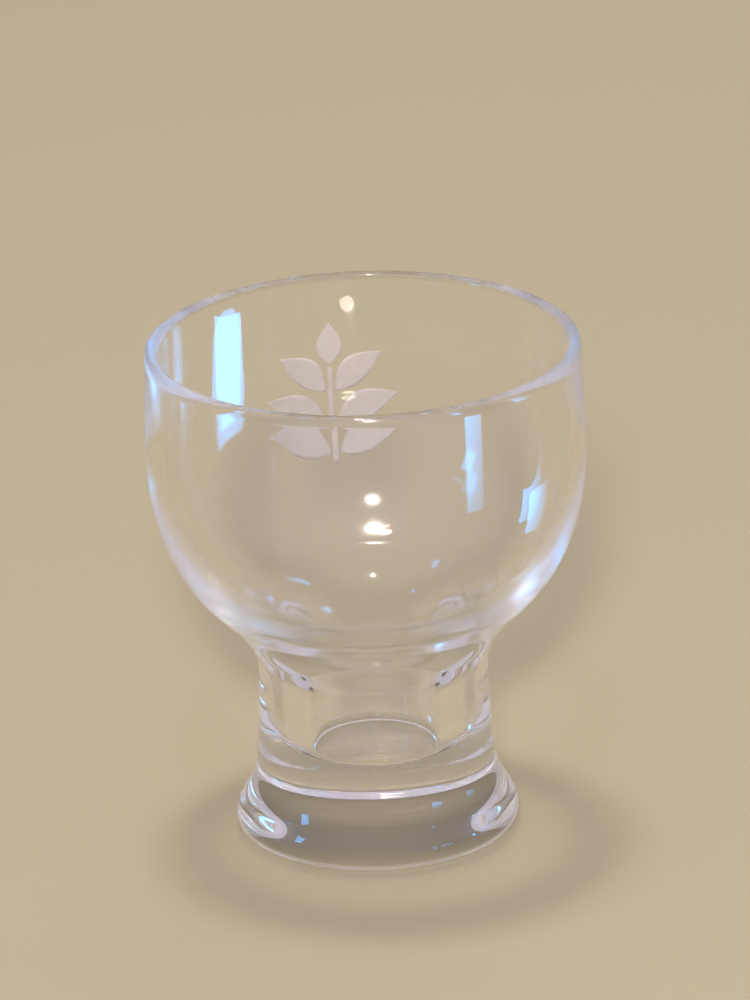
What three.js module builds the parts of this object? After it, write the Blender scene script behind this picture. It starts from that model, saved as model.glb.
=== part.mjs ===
// Footed shot glass of clear colourless glass with a frosted leaf sprig on its wall.
// Lengths are in millimetres, +Z is up, and the origin is the centre of the plane that the foot stands on.
// The glass is made of three gathers fused end to end: the blown bowl, the thick-walled hollow waist under
// it, and the solid foot. They meet face to face on two flat fusion planes. The frosted sprig is a set of
// thin patches that follow the bowl's outer wall.
import * as THREE from "three";

// Overall size
const HEIGHT = 68;
const RIM_RADIUS = 28.5;

// Bowl: the outside is a superellipse below the belly line, and leans in very slightly from there to the rim
const BELLY_HEIGHT = 54;
const BELLY_RADIUS = 28.88;
const BELLY_DEPTH = 28.75;
const BELLY_POWER = 2.3;
const LIP_RADIUS = 0.8;
const INSIDE_RADIUS = 26.85;
const INSIDE_DEPTH = 25;

// Waist: a short neck, narrowest just under the bowl
const WAIST_TOP = 26;
const WAIST_TOP_RADIUS = 15.9;
const WAIST_BOTTOM = 10;
const NECK_HEIGHT = 22;
const NECK_RADIUS = 15.17;
const WAIST_BOTTOM_RADIUS = 15.86;
const BORE_MOUTH_RADIUS = 10.05;
const BORE_RADIUS = 8.6;
const BORE_STRAIGHT_TOP = 20;
const BORE_FLOOR = 12;
const BORE_CORNER = 1.6;

// Foot: flares to a rounded edge, with a very shallow hollow underneath inside a flat bearing ring
const FOOT_RADIUS = 18.76;
const FOOT_EDGE_HEIGHT = 2;
const BEARING_OUTER = 16.1;
const BEARING_INNER = 12.8;
const UNDERSIDE_DEPTH = 0.25;

// Frosted sprig: the middle of its back, how far it stands off the wall, and how thick it is
const SPRIG_AZIMUTH = 99.2;
const SPRIG_HEIGHT = 50.5;
const FROST_GAP = 0.08;
const FROST_THICKNESS = 0.14;

const ROUND_SEGMENTS = 48;

const glass = new THREE.MeshStandardMaterial({ color: 0xe9e9ee, roughness: 0.03, metalness: 0 });
const frost = new THREE.MeshStandardMaterial({ color: 0xd4ccd6, roughness: 0.85, metalness: 0 });

// Radius of a superellipse about the belly line, at a height below it
function superellipseRadius(radius, depth, height) {
  const share = (BELLY_HEIGHT - height) / depth;
  return radius * (1 - share ** BELLY_POWER) ** (1 / BELLY_POWER);
}

// Outer radius of the bowl's wall, above its fillet into the waist
function outerRadius(height) {
  if (height < BELLY_HEIGHT) return superellipseRadius(BELLY_RADIUS, BELLY_DEPTH, height);
  const rise = (height - BELLY_HEIGHT) / (HEIGHT - BELLY_HEIGHT);
  return BELLY_RADIUS - (BELLY_RADIUS - RIM_RADIUS) * rise ** 2;
}

// Inner radius of the bowl's wall, above its rounded way into the bore
function innerRadius(height) {
  if (height < BELLY_HEIGHT) return superellipseRadius(INSIDE_RADIUS, INSIDE_DEPTH, height);
  const rise = (height - BELLY_HEIGHT) / (HEIGHT - BELLY_HEIGHT);
  return INSIDE_RADIUS + (RIM_RADIUS - 2 * LIP_RADIUS - INSIDE_RADIUS) * rise ** 2;
}

// Points (radius, height) of a wall from one height to another, closer together where it curves most
function wallPoints(radiusAt, from, to, count) {
  const points = [];
  for (let i = 0; i <= count; i += 1) {
    const height = from + (to - from) * (i / count) ** 1.3;
    points.push(new THREE.Vector2(radiusAt(height), height));
  }
  return points;
}

// Points along a cubic curve, without its first point, which the outline already has
function curvePoints(count, start, startHandle, endHandle, end) {
  const ends = [start, startHandle, endHandle, end].map(([r, z]) => new THREE.Vector2(r, z));
  return new THREE.CubicBezierCurve(...ends).getPoints(count).slice(1);
}

function lathe(name, outline) {
  const closed = [...outline, outline[0].clone()];
  const mesh = new THREE.Mesh(new THREE.LatheGeometry(closed, ROUND_SEGMENTS), glass);
  mesh.name = name;
  mesh.rotation.x = Math.PI / 2;
  return mesh;
}

// The blown bowl, from the fusion plane up its outside, over the round lip and down its inside
function bowl() {
  const filletTop = 31;
  const shoulder = outerRadius(filletTop);
  const lipHeight = HEIGHT - LIP_RADIUS;
  const floorEdge = 34;
  const lip = [];
  for (let i = 1; i < 6; i += 1) {
    const turn = (Math.PI * i) / 6;
    lip.push(
      new THREE.Vector2(
        RIM_RADIUS - LIP_RADIUS + LIP_RADIUS * Math.cos(turn),
        lipHeight + LIP_RADIUS * Math.sin(turn),
      ),
    );
  }
  return lathe("bowl", [
    new THREE.Vector2(WAIST_TOP_RADIUS, WAIST_TOP),
    ...curvePoints(4, [WAIST_TOP_RADIUS, WAIST_TOP], [16.6, 27.6], [18.1, 29.5], [shoulder, filletTop]),
    ...wallPoints(outerRadius, filletTop, lipHeight, 15).slice(1),
    ...lip,
    ...wallPoints(innerRadius, floorEdge, lipHeight, 13).reverse(),
    ...curvePoints(7, [innerRadius(floorEdge), floorEdge], [14.4, 31.4], [11.2, 28.6],
      [BORE_MOUTH_RADIUS, WAIST_TOP]),
  ]);
}

// The hollow waist, a thick-walled cup: a funnel mouth, a straight bore and a rounded corner round its floor
function waist() {
  const top = [WAIST_TOP_RADIUS, WAIST_TOP];
  const neck = [NECK_RADIUS, NECK_HEIGHT];
  const bottom = [WAIST_BOTTOM_RADIUS, WAIST_BOTTOM];
  const corner = BORE_RADIUS - BORE_CORNER;
  const reach = 0.45 * BORE_CORNER;
  return lathe("waist", [
    new THREE.Vector2(0, WAIST_BOTTOM),
    new THREE.Vector2(...bottom),
    ...curvePoints(5, bottom, [15.45, 14], [NECK_RADIUS, 18.5], neck),
    ...curvePoints(3, neck, [NECK_RADIUS, 23.7], [15.35, 24.8], top),
    new THREE.Vector2(BORE_MOUTH_RADIUS, WAIST_TOP),
    ...curvePoints(4, [BORE_MOUTH_RADIUS, WAIST_TOP], [9.2, 24.1], [BORE_RADIUS, 22.5],
      [BORE_RADIUS, BORE_STRAIGHT_TOP]),
    new THREE.Vector2(BORE_RADIUS, BORE_FLOOR + BORE_CORNER),
    ...curvePoints(4, [BORE_RADIUS, BORE_FLOOR + BORE_CORNER], [BORE_RADIUS, BORE_FLOOR + reach],
      [corner + reach, BORE_FLOOR], [corner, BORE_FLOOR]),
    new THREE.Vector2(0, BORE_FLOOR),
  ]);
}

// The solid foot: underside hollow, bearing ring, rounded edge and concave flare
function foot() {
  const under = [];
  for (let i = 0; i <= 4; i += 1) {
    const share = i / 4;
    under.push(new THREE.Vector2(BEARING_INNER * share, UNDERSIDE_DEPTH * (1 - share ** 2)));
  }
  const edge = [FOOT_RADIUS, FOOT_EDGE_HEIGHT];
  return lathe("foot", [
    ...under,
    new THREE.Vector2(BEARING_OUTER, 0),
    ...curvePoints(5, [BEARING_OUTER, 0], [17.7, 0], [FOOT_RADIUS, 0.8], edge),
    ...curvePoints(6, edge, [FOOT_RADIUS, 4.6], [16.35, 5.6], [WAIST_BOTTOM_RADIUS, WAIST_BOTTOM]),
    new THREE.Vector2(0, WAIST_BOTTOM),
  ]);
}

// A thin patch that follows the bowl's outer wall. It is a strip along a spine: each step of the spine has
// a middle and a half width, in millimetres right and up from the sprig's middle as it is seen from inside
// the bowl, and the strip's two ends are closed by their own short sides.
function frostPatch(name, spine) {
  const positions = [];
  const addPoint = (right, up, standOff) => {
    const height = SPRIG_HEIGHT + up;
    const radius = outerRadius(height) + standOff;
    const azimuth = THREE.MathUtils.degToRad(SPRIG_AZIMUTH) - right / BELLY_RADIUS;
    positions.push(radius * Math.cos(azimuth), radius * Math.sin(azimuth), height);
  };
  for (const { middle, across, half } of spine) {
    for (const standOff of [FROST_GAP, FROST_GAP + FROST_THICKNESS]) {
      for (const side of [-1, 0, 1]) {
        addPoint(middle.x + side * half * across.x, middle.y + side * half * across.y, standOff);
      }
    }
  }
  const index = [];
  const quad = (a, b, c, d) => index.push(a, c, b, a, d, c);
  for (let step = 0; step + 1 < spine.length; step += 1) {
    const near = 6 * step;
    const far = near + 6;
    for (const lane of [0, 1]) {
      quad(near + lane, near + lane + 1, far + lane + 1, far + lane);
      quad(far + 3 + lane, far + 4 + lane, near + 4 + lane, near + 3 + lane);
    }
    quad(near, far, far + 3, near + 3);
    quad(near + 2, near + 5, far + 5, far + 2);
  }
  const last = 6 * (spine.length - 1);
  for (const lane of [0, 1]) {
    quad(lane, lane + 3, lane + 4, lane + 1);
    quad(last + lane, last + lane + 1, last + lane + 4, last + lane + 3);
  }
  const geometry = new THREE.BufferGeometry();
  geometry.setAttribute("position", new THREE.Float32BufferAttribute(positions, 3));
  geometry.setIndex(index);
  geometry.computeVertexNormals();
  const mesh = new THREE.Mesh(geometry, frost);
  mesh.name = name;
  return mesh;
}

// Spine of a leaf from its base to its tip, bowed to one side, with a blunt point at each end
function leafSpine(base, angle, length, width, bow) {
  const steps = 10;
  const along = new THREE.Vector2(Math.cos(angle), Math.sin(angle));
  const across = new THREE.Vector2(-along.y, along.x);
  const spine = [];
  for (let i = 0; i <= steps; i += 1) {
    const share = i / steps;
    const sway = bow * Math.sin(Math.PI * share);
    spine.push({
      middle: base.clone().addScaledVector(along, share * length).addScaledVector(across, sway),
      across,
      half: Math.max(0.12, (width / 2) * Math.sin(Math.PI * share ** 0.85)),
    });
  }
  return spine;
}

// The sprig: an upright stalk, leaves in pairs up both its sides, and one leaf on top
function sprig() {
  const stalkBottom = -10.3;
  const stalkTop = 3.9;
  const pairs = [
    { height: -9.0, length: 9.8, width: 4.2, tilt: 18 },
    { height: -4.2, length: 9.4, width: 4.2, tilt: 27 },
    { height: 0.6, length: 8.2, width: 3.9, tilt: 40 },
  ];
  const stalkGap = 0.75;
  const stalkFoot = { half: 0.45, taper: 0.15 };
  const steps = 8;
  const across = new THREE.Vector2(-1, 0);
  const stalk = [];
  for (let i = 0; i <= steps; i += 1) {
    const share = i / steps;
    const middle = new THREE.Vector2(0, stalkBottom + (stalkTop - stalkBottom) * share);
    stalk.push({ middle, across, half: stalkFoot.half - stalkFoot.taper * share });
  }
  const patches = [frostPatch("frost_stalk", stalk)];
  pairs.forEach(({ height, length, width, tilt }, tier) => {
    const lean = THREE.MathUtils.degToRad(tilt);
    const right = leafSpine(new THREE.Vector2(stalkGap, height), lean, length, width, 0.5);
    const left = leafSpine(new THREE.Vector2(-stalkGap, height), Math.PI - lean, length, width, -0.5);
    patches.push(frostPatch(`frost_leaf_right_${tier + 1}`, right));
    patches.push(frostPatch(`frost_leaf_left_${tier + 1}`, left));
  });
  const topLeaf = { gap: 0.5, length: 5.8, width: 3.6 };
  const topBase = new THREE.Vector2(0, stalkTop + topLeaf.gap);
  const top = leafSpine(topBase, Math.PI / 2, topLeaf.length, topLeaf.width, 0);
  patches.push(frostPatch("frost_leaf_top", top));
  return patches;
}

const shotGlass = new THREE.Group();
shotGlass.add(bowl(), waist(), foot(), ...sprig());

export default shotGlass;
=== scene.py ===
"""Footed shot glass: the looks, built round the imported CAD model.

The glass is turned as one fine outline and then cut into its three gathers, bowl, waist and foot. Where two
gathers meet, each has a fusion face that light passes straight through, so the glass reads as fused.
The frosted sprig lies on the back of the bowl. Lengths are in metres.
"""
import math

import bpy
import numpy as np
from mathutils import Matrix, Vector


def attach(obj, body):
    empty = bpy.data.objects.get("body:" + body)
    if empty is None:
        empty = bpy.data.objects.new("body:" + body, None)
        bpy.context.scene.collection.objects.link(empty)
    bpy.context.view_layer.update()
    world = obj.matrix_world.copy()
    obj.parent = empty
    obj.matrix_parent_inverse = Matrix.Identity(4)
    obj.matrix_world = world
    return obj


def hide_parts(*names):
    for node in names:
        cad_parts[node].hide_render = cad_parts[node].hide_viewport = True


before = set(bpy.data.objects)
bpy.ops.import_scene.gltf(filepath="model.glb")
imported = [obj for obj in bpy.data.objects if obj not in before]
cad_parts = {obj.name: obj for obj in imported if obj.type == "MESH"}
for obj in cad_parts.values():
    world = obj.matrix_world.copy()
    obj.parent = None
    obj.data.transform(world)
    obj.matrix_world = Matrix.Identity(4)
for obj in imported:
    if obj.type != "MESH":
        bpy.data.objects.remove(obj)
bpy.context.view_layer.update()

MM = 0.001

# Bowl: its outside is a superellipse below the belly line, and leans in very slightly from there to the rim
HEIGHT = 68 * MM
RIM_RADIUS = 28.5 * MM
BELLY_HEIGHT = 54 * MM
BELLY_RADIUS = 28.88 * MM
BELLY_DEPTH = 28.75 * MM
BELLY_POWER = 2.3
LIP_RADIUS = 0.8 * MM
INSIDE_RADIUS = 26.85 * MM
INSIDE_DEPTH = 25.0 * MM
FILLET_TOP = 31 * MM
FLOOR_EDGE = 34 * MM

# Waist and foot, in millimetres for the curves of their outline
WAIST_TOP = 26
WAIST_TOP_RADIUS = 15.9
NECK_HEIGHT = 22
NECK_RADIUS = 15.17
WAIST_BOTTOM = 10
WAIST_BOTTOM_RADIUS = 15.86
BORE_MOUTH_RADIUS = 10.05
BORE_RADIUS = 8.6
BORE_STRAIGHT_TOP = 20
BORE_FLOOR = 12.0
BORE_CORNER = 1.6
FOOT_RADIUS = 18.76
FOOT_EDGE_HEIGHT = 2
BEARING_OUTER = 16.1
BEARING_INNER = 12.8
UNDERSIDE_DEPTH = 0.25

# Frosted sprig: where its middle lies, how far it stands off the wall, and how thick it is
SPRIG_AZIMUTH = math.radians(99.2)
SPRIG_HEIGHT = 50.5 * MM
FROST_GAP = 0.08 * MM
FROST_THICKNESS = 0.14 * MM

# Fineness of the turned glass, its amount of unevenness, and the haze round the bowl's bottom
SEGMENTS = 192
UNEVENNESS = 0.03 * MM
HAZE = 0.09

# Studio. The air gap keeps the faces of foot and floor from coinciding, which would darken the foot, and
# the room fill is the share of its brightness that the room gives to matt surfaces.
FLOOR_COLOUR = (0.52, 0.47, 0.35, 1)
AIR_GAP = 0.08 * MM
BACKDROP_START = 1.0
BACKDROP_BEND = 0.5
BACKDROP_HEIGHT = 2.4
ROOM_FILL = 0.42
WINDOW_BLUE = (0.06, 0.43, 1.0)


# ---------------------------------------------------------------- outline of the glass

def superellipse_radius(radius, depth, height):
    share = (BELLY_HEIGHT - height) / depth
    return radius * (1 - share ** BELLY_POWER) ** (1 / BELLY_POWER)


def outer_radius(height):
    """Outer radius of the bowl's wall, above its fillet into the waist."""
    if height < BELLY_HEIGHT:
        return superellipse_radius(BELLY_RADIUS, BELLY_DEPTH, height)
    rise = (height - BELLY_HEIGHT) / (HEIGHT - BELLY_HEIGHT)
    return BELLY_RADIUS - (BELLY_RADIUS - RIM_RADIUS) * rise ** 2


def inner_radius(height):
    """Inner radius of the bowl's wall, above its rounded way into the bore."""
    if height < BELLY_HEIGHT:
        return superellipse_radius(INSIDE_RADIUS, INSIDE_DEPTH, height)
    rise = (height - BELLY_HEIGHT) / (HEIGHT - BELLY_HEIGHT)
    return INSIDE_RADIUS + (RIM_RADIUS - 2 * LIP_RADIUS - INSIDE_RADIUS) * rise ** 2


def wall(radius_at, start, end, count):
    """Points (radius, height) of a wall, without its first point, closer together where it curves most."""
    heights = [start + (end - start) * (i / count) ** 1.3 for i in range(1, count + 1)]
    return [(radius_at(h), h) for h in heights]


def curve(count, *handles):
    """Points along a cubic curve given in millimetres, without its first point."""
    a, b, c, d = (np.array(h, float) * MM for h in handles)
    points = []
    for i in range(1, count + 1):
        t = i / count
        s = 1 - t
        points.append(tuple(s ** 3 * a + 3 * s * s * t * b + 3 * s * t * t * c + t ** 3 * d))
    return points


def line(count, start, end):
    """Points along a straight stretch given in millimetres, without its first point."""
    a, b = np.array(start, float) * MM, np.array(end, float) * MM
    return [tuple(a + (b - a) * i / count) for i in range(1, count + 1)]


def lip():
    """The round lip, from the outer wall over to the inner one."""
    centre, top = RIM_RADIUS - LIP_RADIUS, HEIGHT - LIP_RADIUS
    turns = [math.pi * i / 16 for i in range(1, 17)]
    return [(centre + LIP_RADIUS * math.cos(t), top + LIP_RADIUS * math.sin(t)) for t in turns]


def bore_corner():
    """The rounded corner round the bore's floor, from its side to its flat part."""
    reach = 0.45 * BORE_CORNER
    flat = BORE_RADIUS - BORE_CORNER
    start, start_handle = (BORE_RADIUS, BORE_FLOOR + BORE_CORNER), (BORE_RADIUS, BORE_FLOOR + reach)
    end_handle, end = (flat + reach, BORE_FLOOR), (flat, BORE_FLOOR)
    return curve(12, start, start_handle, end_handle, end)


def outline():
    """The whole glass, from the middle of its underside up the outside and down the inside to the bore.

    Also returns where the two fusion planes cut it: the indices of the foot's top, the waist's top outside
    and the waist's top inside.
    """
    lip_height = HEIGHT - LIP_RADIUS
    shoulder = (outer_radius(FILLET_TOP) / MM, FILLET_TOP / MM)
    floor_edge = (inner_radius(FLOOR_EDGE) / MM, FLOOR_EDGE / MM)
    edge = (FOOT_RADIUS, FOOT_EDGE_HEIGHT)
    waist_bottom = (WAIST_BOTTOM_RADIUS, WAIST_BOTTOM)
    neck = (NECK_RADIUS, NECK_HEIGHT)
    waist_rim = (WAIST_TOP_RADIUS, WAIST_TOP)
    bore_mouth = (BORE_MOUTH_RADIUS, WAIST_TOP)
    bore_top = (BORE_RADIUS, BORE_STRAIGHT_TOP)
    under = [(BEARING_INNER * i / 16, UNDERSIDE_DEPTH * (1 - (i / 16) ** 2)) for i in range(17)]
    points = [(r * MM, z * MM) for r, z in under]
    points += line(3, (BEARING_INNER, 0), (BEARING_OUTER, 0))
    points += curve(12, (BEARING_OUTER, 0), (17.7, 0), (FOOT_RADIUS, 0.8), edge)
    points += curve(20, edge, (FOOT_RADIUS, 4.6), (16.35, 5.6), waist_bottom)
    foot_top = len(points) - 1
    points += curve(22, waist_bottom, (15.45, 14), (NECK_RADIUS, 18.5), neck)
    points += curve(10, neck, (NECK_RADIUS, 23.7), (15.35, 24.8), waist_rim)
    waist_top = len(points) - 1
    points += curve(14, waist_rim, (16.6, 27.6), (18.1, 29.5), shoulder)
    points += wall(outer_radius, FILLET_TOP, lip_height, 60)
    points += lip()
    inside = wall(inner_radius, FLOOR_EDGE, lip_height, 56)[:-1]
    points += inside[::-1] + [(inner_radius(FLOOR_EDGE), FLOOR_EDGE)]
    points += curve(26, floor_edge, (14.4, 31.4), (11.2, 28.6), bore_mouth)
    bore_cut = len(points) - 1
    points += curve(10, bore_mouth, (9.2, 24.1), (BORE_RADIUS, 22.5), bore_top)
    points += line(8, bore_top, (BORE_RADIUS, BORE_FLOOR + BORE_CORNER))
    points += bore_corner()
    points += line(8, (BORE_RADIUS - BORE_CORNER, BORE_FLOOR), (0, BORE_FLOOR))
    return np.array(points), foot_top, waist_top, bore_cut


# ---------------------------------------------------------------- meshes

def link(obj):
    bpy.context.scene.collection.objects.link(obj)
    return obj


def add_piece(name, vertices, faces, normals, materials, face_materials, flat_faces=()):
    """A closed mesh whose shading follows the given vertex normals, apart from its flat faces."""
    mesh = bpy.data.meshes.new(name)
    mesh.from_pydata([tuple(v) for v in vertices], [], faces)
    for material in materials:
        mesh.materials.append(material)
    mesh.polygons.foreach_set("material_index", face_materials)
    mesh.polygons.foreach_set("use_smooth", [True] * len(faces))
    mesh.update()
    flat = set(flat_faces)
    loops = []
    for polygon in mesh.polygons:
        for vertex in polygon.vertices:
            loops.append(polygon.normal if polygon.index in flat else normals[vertex])
    mesh.normals_split_custom_set([tuple(n) for n in loops])
    mesh.validate()
    return link(bpy.data.objects.new(name, mesh))


def turned_grid(points):
    """Positions and outward normals of the whole glass, station by station, with its slight unevenness."""
    count = len(points)
    turn = 2 * math.pi * np.arange(SEGMENTS) / SEGMENTS
    radius = points[:, 0][:, None]
    height = points[:, 1][:, None]
    wobble = uneven(turn[None, :], height)
    share = np.clip(radius / (8 * MM), 0, 1)
    r = radius * np.ones_like(turn)[None, :] + wobble * share
    grid = np.stack([r * np.cos(turn), r * np.sin(turn), height + 0 * r], axis=-1)
    steps = np.linalg.norm(np.diff(points, axis=0), axis=1)
    along = np.gradient(grid, np.concatenate([[0], np.cumsum(steps)]), axis=0)
    around = np.roll(grid, -1, axis=1) - np.roll(grid, 1, axis=1)
    normals = np.cross(around, along)
    length = np.linalg.norm(normals, axis=-1, keepdims=True)
    normals = normals / np.maximum(length, 1e-15)
    normals[0, :] = (0, 0, -1)
    normals[count - 1, :] = (0, 0, 1)
    return grid, normals


def uneven(turn, height):
    """How far the wall strays from round: a few hundredths of a millimetre, in slow waves."""
    up = height / HEIGHT
    return UNEVENNESS * (
        np.sin(2 * turn + 1.1 + 2.0 * up)
        + 0.6 * np.sin(3 * turn + 4.0 - 5.0 * up)
        + 0.35 * np.sin(5 * turn + 0.4 + 7.0 * up)
    )


def turned_piece(name, grid, normals, rings, seams, glass, seam):
    """One gather: a closed loop of rings, each a station of the outline or a point's height on the axis.

    seams holds the places in that loop after which a flat fusion face follows, and not the glass's own
    surface.
    """
    vertices, shading, indices = [], [], []
    for ring in rings:
        start = len(vertices)
        on_axis = isinstance(ring, float) or np.linalg.norm(grid[ring, 0, :2]) < 1e-7
        if on_axis:
            vertices.append((0, 0, ring) if isinstance(ring, float) else grid[ring, 0])
            shading.append((0, 0, 1) if isinstance(ring, float) else normals[ring, 0])
            indices.append([start] * SEGMENTS)
        else:
            vertices.extend(grid[ring])
            shading.extend(normals[ring])
            indices.append(list(range(start, start + SEGMENTS)))
    faces, kinds = [], []
    for at, low in enumerate(indices):
        high = indices[(at + 1) % len(indices)]
        for i in range(SEGMENTS):
            j = (i + 1) % SEGMENTS
            corners = list(dict.fromkeys([low[i], low[j], high[j], high[i]]))
            if len(corners) > 2:
                faces.append(corners)
                kinds.append(1 if at in seams else 0)
    flat = [k for k, kind in enumerate(kinds) if kind]
    return add_piece(name, vertices, faces, shading, [glass, seam], kinds, flat)


# ---------------------------------------------------------------- materials

def new_material(name):
    material = bpy.data.materials.new(name)
    material.use_nodes = True
    nodes = material.node_tree.nodes
    return material, nodes, material.node_tree.links, nodes["Principled BSDF"]


def noise(nodes, links, source, scale, detail, roughness=0.5):
    node = nodes.new("ShaderNodeTexNoise")
    node.inputs["Scale"].default_value = scale
    node.inputs["Detail"].default_value = detail
    node.inputs["Roughness"].default_value = roughness
    links.new(source, node.inputs["Vector"])
    return node


def glass_material(name, clear, edge):
    """Clear, all but colourless glass with very faint waves, handling marks and a haze low in the bowl.

    clear and edge say how much of the light for other surfaces passes it squarely and at a graze.
    """
    material, nodes, links, shader = new_material(name)
    shader.inputs["Base Color"].default_value = (0.985, 0.98, 0.992, 1)
    shader.inputs["Transmission Weight"].default_value = 1
    shader.inputs["IOR"].default_value = 1.5
    place = nodes.new("ShaderNodeTexCoord").outputs["Object"]
    marks = noise(nodes, links, place, 90, 3)
    spread = nodes.new("ShaderNodeMapRange")
    spread.inputs["From Min"].default_value = 0.45
    spread.inputs["From Max"].default_value = 0.75
    spread.inputs["To Min"].default_value = 0.0
    spread.inputs["To Max"].default_value = 0.03
    links.new(marks.outputs["Fac"], spread.inputs["Value"])
    height = nodes.new("ShaderNodeSeparateXYZ")
    links.new(place, height.inputs["Vector"])
    haze = nodes.new("ShaderNodeFloatCurve")
    haze_curve(haze)
    links.new(height.outputs["Z"], haze.inputs["Value"])
    total = nodes.new("ShaderNodeMath")
    total.operation = "ADD"
    links.new(spread.outputs["Result"], total.inputs[0])
    links.new(haze.outputs["Value"], total.inputs[1])
    links.new(total.outputs["Value"], shader.inputs["Roughness"])
    waves = noise(nodes, links, place, 160, 2)
    bump = nodes.new("ShaderNodeBump")
    bump.inputs["Strength"].default_value = 0.1
    bump.inputs["Distance"].default_value = 0.02 * MM
    links.new(waves.outputs["Fac"], bump.inputs["Height"])
    links.new(bump.outputs["Normal"], shader.inputs["Normal"])
    let_lamps_through(nodes, links, shader, clear, edge)
    return material


def haze_curve(node):
    """Roughness by height, which makes the thick glass round the bowl's bottom look a little hazy."""
    curve = node.mapping.curves[0]
    stops = [(0.0, 0.0), (0.0265, 0.0), (0.030, HAZE), (0.037, HAZE), (0.046, 0.0), (1.0, 0.0)]
    curve.points[0].location, curve.points[1].location = stops[0], stops[-1]
    for stop in stops[1:-1]:
        curve.points.new(*stop)
    for point in curve.points:
        point.handle_type = "VECTOR"
    node.mapping.update()


def let_lamps_through(nodes, links, shader, clear_share, edge_share):
    """Light for other surfaces passes the glass, most where it meets it squarely and least at a graze."""
    facing = nodes.new("ShaderNodeLayerWeight")
    facing.inputs["Blend"].default_value = 0.5
    ramp = nodes.new("ShaderNodeValToRGB")
    ramp.color_ramp.elements[0].position = 0.25
    ramp.color_ramp.elements[0].color = (clear_share, clear_share, clear_share, 1)
    ramp.color_ramp.elements[1].position = 0.9
    ramp.color_ramp.elements[1].color = (edge_share, edge_share, edge_share, 1)
    clear = nodes.new("ShaderNodeBsdfTransparent")
    rays = nodes.new("ShaderNodeLightPath")
    links.new(facing.outputs["Facing"], ramp.inputs["Fac"])
    links.new(ramp.outputs["Color"], clear.inputs["Color"])
    surface = shader.outputs["BSDF"]
    for kind in ("Is Diffuse Ray", "Is Shadow Ray"):
        mix = nodes.new("ShaderNodeMixShader")
        links.new(rays.outputs[kind], mix.inputs["Fac"])
        links.new(surface, mix.inputs[1])
        links.new(clear.outputs["BSDF"], mix.inputs[2])
        surface = mix.outputs["Shader"]
    links.new(surface, nodes["Material Output"].inputs["Surface"])


def seam_material():
    """A fusion face: the two gathers are one glass there, so nothing shows."""
    material, _, _, shader = new_material("fused_seam")
    shader.inputs["Alpha"].default_value = 0
    return material


def frost_material():
    """Etched white: rough, opaque and very faintly mottled."""
    material, nodes, links, shader = new_material("frosted_layer")
    shader.inputs["Roughness"].default_value = 0.9
    shader.inputs["Specular IOR Level"].default_value = 0.3
    place = nodes.new("ShaderNodeTexCoord").outputs["Object"]
    mottle = noise(nodes, links, place, 900, 4, 0.6)
    ramp = nodes.new("ShaderNodeValToRGB")
    ramp.color_ramp.elements[0].position = 0.3
    ramp.color_ramp.elements[0].color = (0.86, 0.82, 0.88, 1)
    ramp.color_ramp.elements[1].position = 0.7
    ramp.color_ramp.elements[1].color = (0.93, 0.90, 0.95, 1)
    links.new(mottle.outputs["Fac"], ramp.inputs["Fac"])
    links.new(ramp.outputs["Color"], shader.inputs["Base Color"])
    bump = nodes.new("ShaderNodeBump")
    bump.inputs["Strength"].default_value = 0.4
    bump.inputs["Distance"].default_value = 0.03 * MM
    links.new(mottle.outputs["Fac"], bump.inputs["Height"])
    links.new(bump.outputs["Normal"], shader.inputs["Normal"])
    return material


def floor_material():
    material, _, _, shader = new_material("pale_floor")
    shader.inputs["Roughness"].default_value = 0.85
    shader.inputs["Base Color"].default_value = FLOOR_COLOUR
    return material


# ---------------------------------------------------------------- frosted sprig

def frost_point(right, up, stand_off):
    """A point off the outer wall, that far right and up from the sprig's middle as seen from in the bowl."""
    height = SPRIG_HEIGHT + up
    azimuth = SPRIG_AZIMUTH - right / BELLY_RADIUS
    radius = outer_radius(height) + uneven(azimuth, height) + stand_off
    return Vector((radius * math.cos(azimuth), radius * math.sin(azimuth), height))


def frost_patch(name, spine, material, lanes=8):
    """A thin closed patch along a spine of (middle, across, half width), with a soft rounded edge."""
    vertices = []
    for middle, across, half in spine:
        for layer in (0, 1):
            for lane in range(lanes + 1):
                side = 2 * lane / lanes - 1
                edge = 1 - side ** 4 if layer else 0
                stand_off = FROST_GAP + FROST_THICKNESS * (0.35 + 0.65 * edge) * layer
                spot = middle + across * (side * half)
                vertices.append(frost_point(spot.x, spot.y, stand_off))
    width = lanes + 1
    step = 2 * width
    faces = []
    for i in range(len(spine) - 1):
        near, far = i * step, (i + 1) * step
        for k in range(lanes):
            faces.append([near + k, near + k + 1, far + k + 1, far + k])
            up_near, up_far = near + width + k, far + width + k
            faces.append([up_far, up_far + 1, up_near + 1, up_near])
        faces.append([near, far, far + width, near + width])
        faces.append([near + lanes, near + width + lanes, far + width + lanes, far + lanes])
    last = (len(spine) - 1) * step
    for k in range(lanes):
        faces.append([k, k + width, k + width + 1, k + 1])
        faces.append([last + k, last + k + 1, last + width + k + 1, last + width + k])
    mesh = bpy.data.meshes.new(name)
    mesh.from_pydata(vertices, [], faces)
    mesh.materials.append(material)
    mesh.polygons.foreach_set("use_smooth", [True] * len(faces))
    mesh.update()
    middle = sum((v.co for v in mesh.vertices), Vector()) / len(mesh.vertices)
    outward = sum((p.normal.dot(p.center - middle) * p.area for p in mesh.polygons))
    if outward < 0:
        mesh.flip_normals()
    return link(bpy.data.objects.new(name, mesh))


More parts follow.
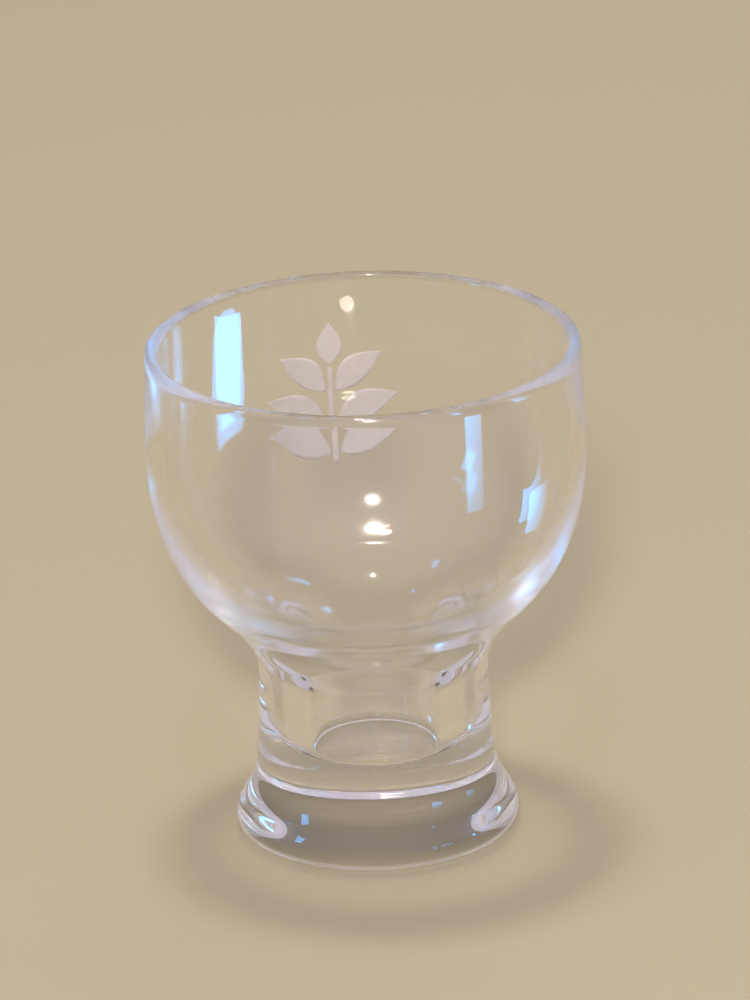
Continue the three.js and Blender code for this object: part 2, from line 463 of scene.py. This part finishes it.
def leaf_spine(base, angle, length, width, bow):
    """Spine of a leaf from its base to its tip, bowed to one side, with a blunt point at each end."""
    steps = 28
    along = Vector((math.cos(angle), math.sin(angle)))
    across = Vector((-along.y, along.x))
    spine = []
    for i in range(steps + 1):
        share = i / steps
        middle = base + along * (share * length) + across * (bow * math.sin(math.pi * share))
        half = max(0.12 * MM, width / 2 * math.sin(math.pi * share ** 0.85))
        spine.append((middle, across, half))
    return spine


def sprig(material):
    """The stalk, its three pairs of leaves and the top leaf. Returns {CAD node: piece}."""
    bottom, top = -10.3 * MM, 3.9 * MM
    pairs = [(-9.0, 9.8, 4.2, 18), (-4.2, 9.4, 4.2, 27), (0.6, 8.2, 3.9, 40)]
    gap = 0.75 * MM
    made = {}
    stalk = []
    for i in range(25):
        share = i / 24
        middle = Vector((0, bottom + (top - bottom) * share))
        stalk.append((middle, Vector((-1, 0)), (0.45 - 0.15 * share) * MM))
    made["frost_stalk"] = frost_patch("sprig_stalk", stalk, material)
    for tier, (height, length, width, tilt) in enumerate(pairs, 1):
        lean = math.radians(tilt)
        for side, start, angle, bow in (
            ("right", gap, lean, 0.5 * MM),
            ("left", -gap, math.pi - lean, -0.5 * MM),
        ):
            spine = leaf_spine(Vector((start, height * MM)), angle, length * MM, width * MM, bow)
            name = f"sprig_leaf_{side}_{tier}"
            made[f"frost_leaf_{side}_{tier}"] = frost_patch(name, spine, material)
    spine = leaf_spine(Vector((0, top + 0.5 * MM)), math.pi / 2, 5.8 * MM, 3.6 * MM, 0)
    made["frost_leaf_top"] = frost_patch("sprig_leaf_top", spine, material)
    return made


# ---------------------------------------------------------------- stage

def look_at(obj, target, roll=0.0):
    direction = Vector(target) - obj.location
    turn = direction.to_track_quat("-Z", "Y").to_matrix() @ Matrix.Rotation(roll, 3, "Z")
    obj.rotation_euler = turn.to_euler()


def add_camera():
    data = bpy.data.cameras.new("camera")
    data.sensor_width = 36
    data.lens = 276
    data.clip_start = 0.01
    data.clip_end = 20
    camera = link(bpy.data.objects.new("camera", data))
    camera.location = (0, -0.9405, 0.4077)
    look_at(camera, (0.00095, 0, 0.0458), math.radians(-1.91))
    bpy.context.scene.camera = camera


def add_area(name, place, target, size, power, colour, lights_floor=True, seen=True):
    """A lamp the camera can't see. It may light matt surfaces, and may be seen in the glass."""
    data = bpy.data.lights.new(name, "AREA")
    data.shape = "RECTANGLE"
    data.size, data.size_y = size
    data.energy = power
    data.color = colour
    light = link(bpy.data.objects.new(name, data))
    light.location = place
    look_at(light, target)
    light.visible_camera = False
    light.visible_diffuse = lights_floor
    light.visible_glossy = seen
    light.visible_transmission = seen
    return light


def add_highlight(name, place, target, size, power, colour, spread=180, shape="RECTANGLE"):
    """A lamp that only makes a highlight in the glass, kept to a cone of that spread in degrees."""
    light = add_area(name, place, target, size, power, colour, lights_floor=False)
    light.data.spread = math.radians(spread)
    light.data.shape = shape
    return light


def add_backdrop(material):
    """A plain sweep of the floor's own colour behind the glass."""
    turns = np.linspace(0, math.pi / 2, 12)
    sweep = [(BACKDROP_START + BACKDROP_BEND * math.sin(t), BACKDROP_BEND * (1 - math.cos(t))) for t in turns]
    sweep.append((BACKDROP_START + BACKDROP_BEND, BACKDROP_HEIGHT))
    vertices = [(x, y, z) for y, z in sweep for x in (-2, 2)]
    faces = [(2 * i, 2 * i + 1, 2 * i + 3, 2 * i + 2) for i in range(len(sweep) - 1)]
    mesh = bpy.data.meshes.new("backdrop")
    mesh.from_pydata(vertices, [], faces)
    mesh.materials.append(material)
    return link(bpy.data.objects.new("backdrop", mesh))


def paint_room(tree):
    """A pale room, warm grey low down and at the back, and brighter lavender grey above the front.

    Matt surfaces get only the room fill's share of it, so that the lamps' shadows show.
    """
    nodes, links = tree.nodes, tree.links
    direction = nodes.new("ShaderNodeTexCoord").outputs["Generated"]
    toward = nodes.new("ShaderNodeVectorMath")
    toward.operation = "DOT_PRODUCT"
    toward.inputs[1].default_value = (0, -0.42, 0.91)
    ramp = nodes.new("ShaderNodeValToRGB")
    ramp.color_ramp.elements[0].position = 0.0
    ramp.color_ramp.elements[0].color = (0.36, 0.33, 0.335, 1)
    ramp.color_ramp.elements[1].position = 0.95
    ramp.color_ramp.elements[1].color = (0.66, 0.61, 0.71, 1)
    links.new(direction, toward.inputs[0])
    links.new(toward.outputs["Value"], ramp.inputs["Fac"])
    links.new(ramp.outputs["Color"], nodes["Background"].inputs["Color"])
    strength = nodes.new("ShaderNodeMath")
    strength.operation = "MULTIPLY_ADD"
    links.new(nodes.new("ShaderNodeLightPath").outputs["Is Diffuse Ray"], strength.inputs[0])
    strength.inputs[1].default_value = ROOM_FILL - 1
    strength.inputs[2].default_value = 1
    links.new(strength.outputs["Value"], nodes["Background"].inputs["Strength"])


def add_stage():
    bpy.ops.mesh.primitive_circle_add(vertices=96, radius=3, fill_type="NGON")
    floor = bpy.context.object
    floor.name = "floor"
    floor.location.z = -AIR_GAP
    floor.data.materials.append(floor_material())
    backdrop = add_backdrop(floor.data.materials[0])
    world = bpy.data.worlds.new("studio")
    world.use_nodes = True
    paint_room(world.node_tree)
    bpy.context.scene.world = world
    add_lamps()
    add_highlights()


def add_lamps():
    """Soft lamps that light the floor and the frost, and don't show in the glass."""
    base, middle = (0, 0, 0.02), (0, 0, 0.04)
    add_area("overhead", (-0.05, 0.15, 1.3), base, (0.2, 0.2), 7, (1.0, 0.92, 0.8), seen=False)
    add_area("back", (0.3, 1.0, 0.8), middle, (0.6, 0.6), 2.2, (1.0, 0.95, 0.9), seen=False)
    add_area("front", (-0.05, -1.35, 0.76), middle, (0.14, 0.14), 16, (1.0, 0.9, 0.76), seen=False)


def add_highlights():
    """A warm lamp high in front, a blue window on the left, and three small lamps close to the glass.

    Two of the small ones are blue and stand on the right, and one is warm and stands low in front.
    """
    lamp_way = Vector((-0.05, -0.50, 0.86)).normalized()
    lamp_colour = (1.0, 0.92, 0.82)
    add_highlight("lamp", lamp_way * 1.2, (0, 0, 0.05), (0.09, 0.09), 12, lamp_colour, shape="ELLIPSE")
    window_way = Vector((-0.874, -0.347, 0.342)).normalized()
    add_highlight("window", window_way * 1.3, (0, 0, 0.04), (0.15, 0.24), 1.5, WINDOW_BLUE)
    place, target = (0.100, -0.080, 0.028), (0, 0, 0.045)
    right = add_highlight("window_right", place, target, (0.02, 0.03), 0.0022, WINDOW_BLUE, spread=38)
    right.visible_transmission = False
    place, target = (0.100, 0.006, 0.013), (-0.015, 0.02, 0.055)
    add_highlight("window_left", place, target, (0.04, 0.02), 0.004, WINDOW_BLUE, spread=50)
    place, target = (0.017, -0.105, 0.0165), (-0.002, 0.0268, 0.063)
    low_colour = (1.0, 0.9, 0.8)
    add_highlight("lamp_low", place, target, (0.017, 0.0035), 0.012, low_colour, spread=11, shape="ELLIPSE")


def settings():
    scene = bpy.context.scene
    scene.view_settings.view_transform = "Standard"
    cycles = scene.cycles
    cycles.max_bounces = 96
    cycles.transmission_bounces = 96
    cycles.glossy_bounces = 96
    cycles.transparent_max_bounces = 32
    cycles.caustics_reflective = False
    cycles.caustics_refractive = False
    cycles.blur_glossy = 0.3
    cycles.use_denoising = True


def main():
    settings()
    add_camera()
    add_stage()
    thin = glass_material("clear_glass_thin", 0.89, 0.22)
    thick = glass_material("clear_glass_thick", 0.985, 0.6)
    seam, frost = seam_material(), frost_material()
    points, foot_top, waist_top, bore_cut = outline()
    grid, normals = turned_grid(points)
    stations = list(range(len(points)))
    outside, inside = stations[foot_top:waist_top + 1], stations[bore_cut:]
    foot_rings = stations[:foot_top + 1] + [WAIST_BOTTOM * MM]
    foot = turned_piece("foot_glass", grid, normals, foot_rings, {foot_top}, thick, seam)
    waist_rings = [WAIST_BOTTOM * MM] + outside + inside
    waist = turned_piece("waist_glass", grid, normals, waist_rings, {0, len(outside)}, thick, seam)
    bowl_rings = stations[waist_top:bore_cut + 1]
    bowl = turned_piece("bowl_glass", grid, normals, bowl_rings, {len(bowl_rings) - 1}, thin, seam)
    for piece, node in ((foot, "foot"), (waist, "waist"), (bowl, "bowl")):
        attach(piece, "root")
        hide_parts(node)
    for node, piece in sprig(frost).items():
        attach(piece, "root")
        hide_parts(node)


main()
